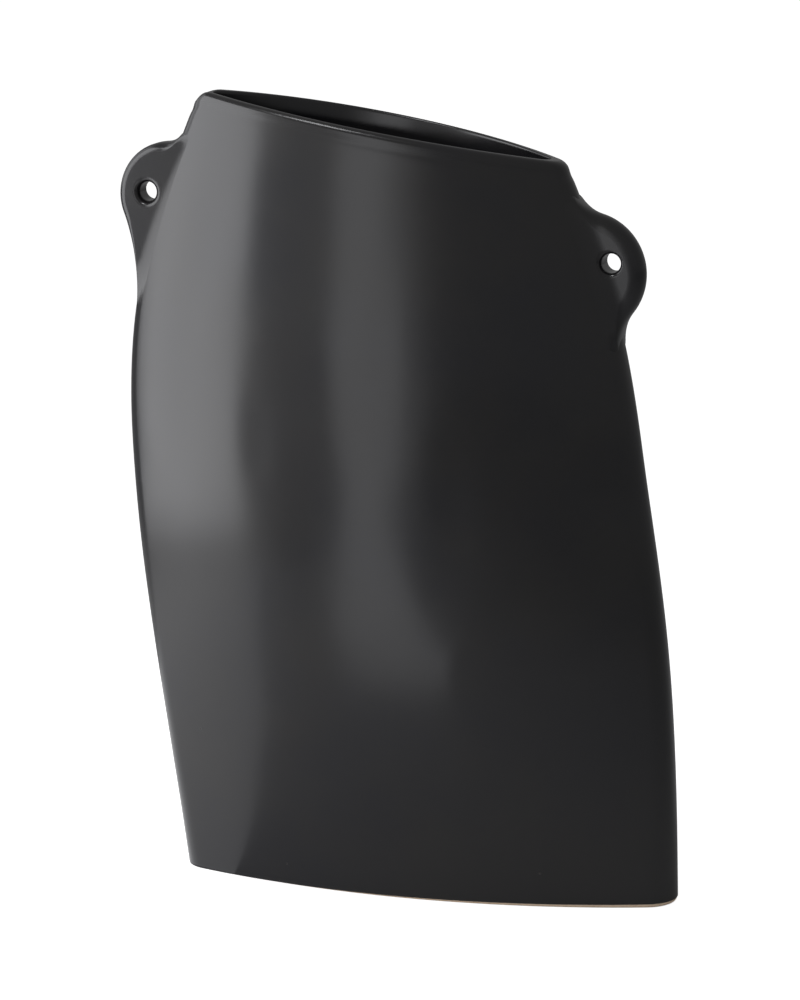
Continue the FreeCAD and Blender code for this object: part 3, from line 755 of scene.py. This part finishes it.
def makeEarTree(rowCount, material):
    tree = bpy.data.node_groups.new("pierced ear", "GeometryNodeTree")
    numbers = {**earSink, **earSizes["leftEar"]["blend"], "Rounding": earSizes["leftEar"]["rounding"],
               "Side": 1.0, "Hole Across": 0.0, "Hole Rise": 0.0, "Hole Radius": earShape["hole radius"],
               "Half Thickness": earShape["thickness"] / 2}
    inputs = {"Geometry": ("NodeSocketGeometry", None)}
    inputs.update({name: ("NodeSocketFloat", value) for name, value in numbers.items()})
    given, end = groupSockets(tree, inputs, {"Geometry": "NodeSocketGeometry"})
    points = earShape["outline points"]
    grid = addNode(tree, "GeometryNodeMeshGrid")
    grid.inputs["Vertices X"].default_value = points + 1
    grid.inputs["Vertices Y"].default_value = rowCount
    index = Wire(tree, addNode(tree, "GeometryNodeInputIndex").outputs[0])
    column = maths(tree, "FLOOR", (index + 0.5) / rowCount)
    row = index - column * rowCount
    column = column - points * maths(tree, "GREATER_THAN", column, points - 0.5)

    def sampled(socket, kind, spot):
        sample = addNode(tree, "GeometryNodeSampleIndex", {"data_type": kind, "domain": "POINT"})
        tree.links.new(given["Geometry"].socket, sample.inputs["Geometry"])
        tree.links.new(socket, sample.inputs["Value"])
        feed(tree, sample.inputs["Index"], spot)
        return sample.outputs[0]

    def fromRow(name, spot):
        named = addNode(tree, "GeometryNodeInputNamedAttribute", {"data_type": "FLOAT"}, Name=name)
        return Wire(tree, sampled(named.outputs["Attribute"], "FLOAT", spot))

    share, holeSide, rimSide, height, fall, blend = (fromRow(name, row + points) for name in earParts)
    slant = fromRow("rimSide", column)
    position = addNode(tree, "GeometryNodeInputPosition")
    rim = addNode(tree, "ShaderNodeSeparateXYZ")
    tree.links.new(sampled(position.outputs[0], "FLOAT_VECTOR", column), rim.inputs[0])
    rimAcross, rimRise = Wire(tree, rim.outputs["X"]), Wire(tree, rim.outputs["Z"])

    turn = Wire(tree, rim.outputs["Y"])
    holeAcross = given["Hole Across"] + given["Hole Radius"] * maths(tree, "COSINE", turn)
    holeRise = given["Hole Rise"] + given["Hole Radius"] * maths(tree, "SINE", turn)
    wayAcross, wayRise = rimAcross - holeAcross, rimRise - holeRise
    way = maths(tree, "SQRT", wayAcross * wayAcross + wayRise * wayRise)
    rimFromBody = rimAcross - levelCurve(tree, "half width", rimRise) - given["Side"] * levelCurve(
        tree, "shift", rimRise)
    rooted = 1 - smoothRamp(tree, rimFromBody, given["Soft To"], given["Soft From"])
    rounding = given["Rounding"] * (1 + (slant - 1) * (1 - rooted)) + rooted * given["Root Softness"]
    out = share + (holeSide - rimSide * rounding) / way
    across, rise = holeAcross + wayAcross * out, holeRise + wayRise * out

    edge = levelCurve(tree, "edge", rise)
    reach = levelCurve(tree, "half width", rise) - edge
    fromMiddle = across - given["Side"] * levelCurve(tree, "shift", rise)
    closing = maths(tree, "MINIMUM", given["Rounding"], given["Half Thickness"])
    closing = fall * choose(tree, rooted, given["Half Thickness"], closing)
    thick = maths(tree, "MAXIMUM", maths(tree, "ABSOLUTE", height) - closing, 0.0)
    lowTaper = 1 - smoothRamp(tree, rise, given["Low End"], given["Low End"] + given["Low Over"])
    highTaper = smoothRamp(tree, rise, given["High End"] - given["High Over"], given["High End"])
    taper = 1 - given["Low Share"] * lowTaper - given["High Share"] * highTaper
    part = maths(tree, "MINIMUM", thick / given["Half Thickness"], 1.0) * taper
    slope = given["Slope"] * part
    fillet = maths(tree, "MAXIMUM", given["Fillet"] * part, given["Least Fillet"])
    stretch = maths(tree, "SQRT", 1 + slope * slope)
    level = part * given["Half Thickness"] + slope * (given["Slope Reach"] + edge)
    gap = fillet + level / stretch
    run = rootOf(tree, (fillet + edge) * (fillet + edge) - gap * gap)
    filletAcross = reach + (gap * slope + run) / stretch
    filletTall = (gap - run * slope) / stretch
    start = filletAcross - fillet * slope / stretch
    tooThick = maths(tree, "MAXIMUM", gap - fillet - edge, 0.0)
    finish = reach + (filletAcross - reach) * edge / (fillet + edge) - given["Under Skin"] * tooThick
    flat = level - slope * (fromMiddle - reach)
    fromCentre = fromMiddle - filletAcross
    hollow = filletTall - rootOf(tree, fillet * fillet - fromCentre * fromCentre)
    onNose = maths(tree, "MAXIMUM", fromMiddle - reach, 0.0)
    nose = rootOf(tree, edge * edge - onNose * onNose)
    deep = (finish - fromMiddle) / given["Sink Over"]
    nose = nose - maths(tree, "MINIMUM", given["Sink"] * deep * deep, nose * given["Deepest Share"])
    skin = choose(tree, maths(tree, "LESS_THAN", fromMiddle, start), hollow, flat)
    skin = choose(tree, maths(tree, "LESS_THAN", fromMiddle, finish), nose, skin)
    thick = choose(tree, blend, skin, flat)
    y = -1 * thick * maths(tree, "SIGN", height)
    place = addNode(tree, "ShaderNodeCombineXYZ", X=across * given["Side"], Y=y, Z=rise)
    finishTree(tree, grid, place, material, end)
    return tree


def makeEars(material):
    for name, ear in earSizes.items():
        rows = earRows(ear["evenness"], ear["softening"])
        tree = makeEarTree(len(rows), material)
        outline = earOutline(ear)
        if ear["side"] < 0:
            outline.reverse()
        slants = [[0, 0, slant, 0, 0, 0] for across, turn, rise, slant in outline]
        piece = linePiece(name, slants + rows, earParts)
        for point, (across, turn, rise, slant) in zip(piece.data.vertices, outline):
            # y carries the turn round the hole that this point of the rim belongs to
            point.co = (across, turn, rise)
        bakeTree(piece, tree, {**earSink, **ear["blend"], "Rounding": ear["rounding"], "Side": ear["side"],
                               "Hole Across": ear["hole"][0], "Hole Rise": ear["hole"][1]})
        print(name, len(piece.data.polygons), "faces")
        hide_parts(ear["replaces"])
        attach(piece, "root")


# glaze pattern: two near blacks that drift into each other, fine grain and a few pinholes
glazeNumbers = {
    "Drift Scale": 16.0, "Drift Low": 0.3, "Drift High": 0.7, "Drift Height": 0.3,
    "Grain Scale": 420.0, "Grain Height": 0.12,
    "Pinhole Scale": 65.0, "Pinhole Size": 0.05, "Pinhole Core Share": 0.4, "Pinhole Share": 0.06,
}
glazeNoise = {"drift": {"Detail": 3.0, "Roughness": 0.55}, "grain": {"Detail": 2.0}}
# glaze finish: colours, and how rough and how uneven it is
glazeFinish = {
    "cool": (0.0095, 0.0095, 0.0115, 1), "warm": (0.0125, 0.0118, 0.0118, 1),
    "pinhole": (0.05, 0.045, 0.04, 1), "pinhole share": 0.5,
    "roughness": 0.18, "drift roughness": 0.03, "grain roughness": 0.04, "pinhole roughness": 0.2,
    "bump": 0.25, "bump depth": 0.0004,
}
# clay pattern and finish: light tan with darker grains
clayNumbers = {"Grain Scale": 900.0, "Drift Scale": 40.0, "Speck Low": 0.42, "Speck High": 0.68,
               "Speck Share": 0.6}
clayNoise = {"grain": {"Detail": 3.0}, "drift": {"Detail": 2.0}}
clayFinish = {"light": (0.96, 0.77, 0.58, 1), "dark": (0.80, 0.60, 0.43, 1), "roughness": 0.85,
              "bump": 0.5, "bump depth": 0.0003}


def makeGlazeGroup():
    tree = bpy.data.node_groups.new("glaze surface", "ShaderNodeTree")
    given, end = groupSockets(
        tree, {name: ("NodeSocketFloat", number) for name, number in glazeNumbers.items()},
        {"Drift": "NodeSocketFloat", "Grain": "NodeSocketFloat", "Pinholes": "NodeSocketFloat",
         "Height": "NodeSocketFloat"})
    place = tree.nodes.new("ShaderNodeTexCoord").outputs["Object"]

    def texture(kind, scale, **inputs):
        node = addNode(tree, kind, None, Scale=scale, **inputs)
        tree.links.new(place, node.inputs["Vector"])
        return node

    clouds = texture("ShaderNodeTexNoise", given["Drift Scale"], **glazeNoise["drift"])
    drift = smoothRamp(tree, Wire(tree, clouds.outputs[0]), given["Drift Low"], given["Drift High"])
    grain = Wire(tree, texture("ShaderNodeTexNoise", given["Grain Scale"], **glazeNoise["grain"]).outputs[0])
    cells = texture("ShaderNodeTexVoronoi", given["Pinhole Scale"])
    chosen = addNode(tree, "ShaderNodeSeparateColor")
    tree.links.new(cells.outputs["Color"], chosen.inputs[0])
    rare = maths(tree, "LESS_THAN", Wire(tree, chosen.outputs[0]), given["Pinhole Share"])
    pinholes = rare * (1 - smoothRamp(
        tree, Wire(tree, cells.outputs["Distance"]),
        given["Pinhole Size"] * given["Pinhole Core Share"], given["Pinhole Size"]))
    height = grain * given["Grain Height"] + drift * given["Drift Height"] - pinholes
    for name, wire in (("Drift", drift), ("Grain", grain), ("Pinholes", pinholes), ("Height", height)):
        tree.links.new(wire.socket, end.inputs[name])
    return tree


def mixColours(tree, share, first, second):
    node = tree.nodes.new("ShaderNodeMix")
    node.data_type = "RGBA"
    feed(tree, node.inputs["Factor"], share)
    feed(tree, node.inputs["A"], first)
    feed(tree, node.inputs["B"], second)
    return Wire(tree, node.outputs["Result"])


def makeGlaze():
    material = bpy.data.materials.new("satinBlackGlaze")
    material.use_nodes = True
    tree = material.node_tree
    shader = tree.nodes["Principled BSDF"]
    group = tree.nodes.new("ShaderNodeGroup")
    group.node_tree = makeGlazeGroup()
    drift, grain, pinholes, height = (Wire(tree, group.outputs[name])
                                      for name in ("Drift", "Grain", "Pinholes", "Height"))
    s = glazeFinish
    colour = mixColours(tree, drift, s["cool"], s["warm"])
    colour = mixColours(tree, pinholes * s["pinhole share"], colour, s["pinhole"])
    tree.links.new(colour.socket, shader.inputs["Base Color"])
    rough = (s["roughness"] + drift * s["drift roughness"] + grain * s["grain roughness"]
             + pinholes * s["pinhole roughness"])
    tree.links.new(rough.socket, shader.inputs["Roughness"])
    bump = addNode(tree, "ShaderNodeBump", None, Strength=s["bump"], Distance=s["bump depth"], Height=height)
    tree.links.new(bump.outputs[0], shader.inputs["Normal"])
    return material


def makeClay():
    material = bpy.data.materials.new("bareClay")
    material.use_nodes = True
    tree = material.node_tree
    shader = tree.nodes["Principled BSDF"]
    group = bpy.data.node_groups.new("clay grain", "ShaderNodeTree")
    given, end = groupSockets(
        group, {name: ("NodeSocketFloat", number) for name, number in clayNumbers.items()},
        {"Grains": "NodeSocketFloat", "Height": "NodeSocketFloat"})
    place = group.nodes.new("ShaderNodeTexCoord").outputs["Object"]
    fine = addNode(group, "ShaderNodeTexNoise", None, Scale=given["Grain Scale"], **clayNoise["grain"])
    broad = addNode(group, "ShaderNodeTexNoise", None, Scale=given["Drift Scale"], **clayNoise["drift"])
    for node in (fine, broad):
        group.links.new(place, node.inputs["Vector"])
    speck = smoothRamp(group, Wire(group, fine.outputs[0]), given["Speck Low"], given["Speck High"])
    grains = choose(group, given["Speck Share"], speck, Wire(group, broad.outputs[0]))
    group.links.new(grains.socket, end.inputs["Grains"])
    group.links.new(fine.outputs[0], end.inputs["Height"])
    used = tree.nodes.new("ShaderNodeGroup")
    used.node_tree = group
    s = clayFinish
    colour = mixColours(tree, Wire(tree, used.outputs["Grains"]), s["light"], s["dark"])
    tree.links.new(colour.socket, shader.inputs["Base Color"])
    shader.inputs["Roughness"].default_value = s["roughness"]
    bump = addNode(tree, "ShaderNodeBump", None, Strength=s["bump"], Distance=s["bump depth"],
                   Height=Wire(tree, used.outputs["Height"]))
    tree.links.new(bump.outputs[0], shader.inputs["Normal"])
    return material


makeCamera()
makeLamps()
makeWorld()
makeFloor()
print("studio with", len(lamps), "lamps")
glaze = makeGlaze()
clay = makeClay()
print("glaze and clay")
lens = makeLensGroup()
makeBody(lens, glaze)
makeFoot(lens, clay)
makeEars(glaze)
for name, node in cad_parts.items():
    for materialSlot in node.material_slots:
        materialSlot.material = clay if name == "base_slab" else glaze
bpy.context.scene.view_settings.view_transform = "Standard"
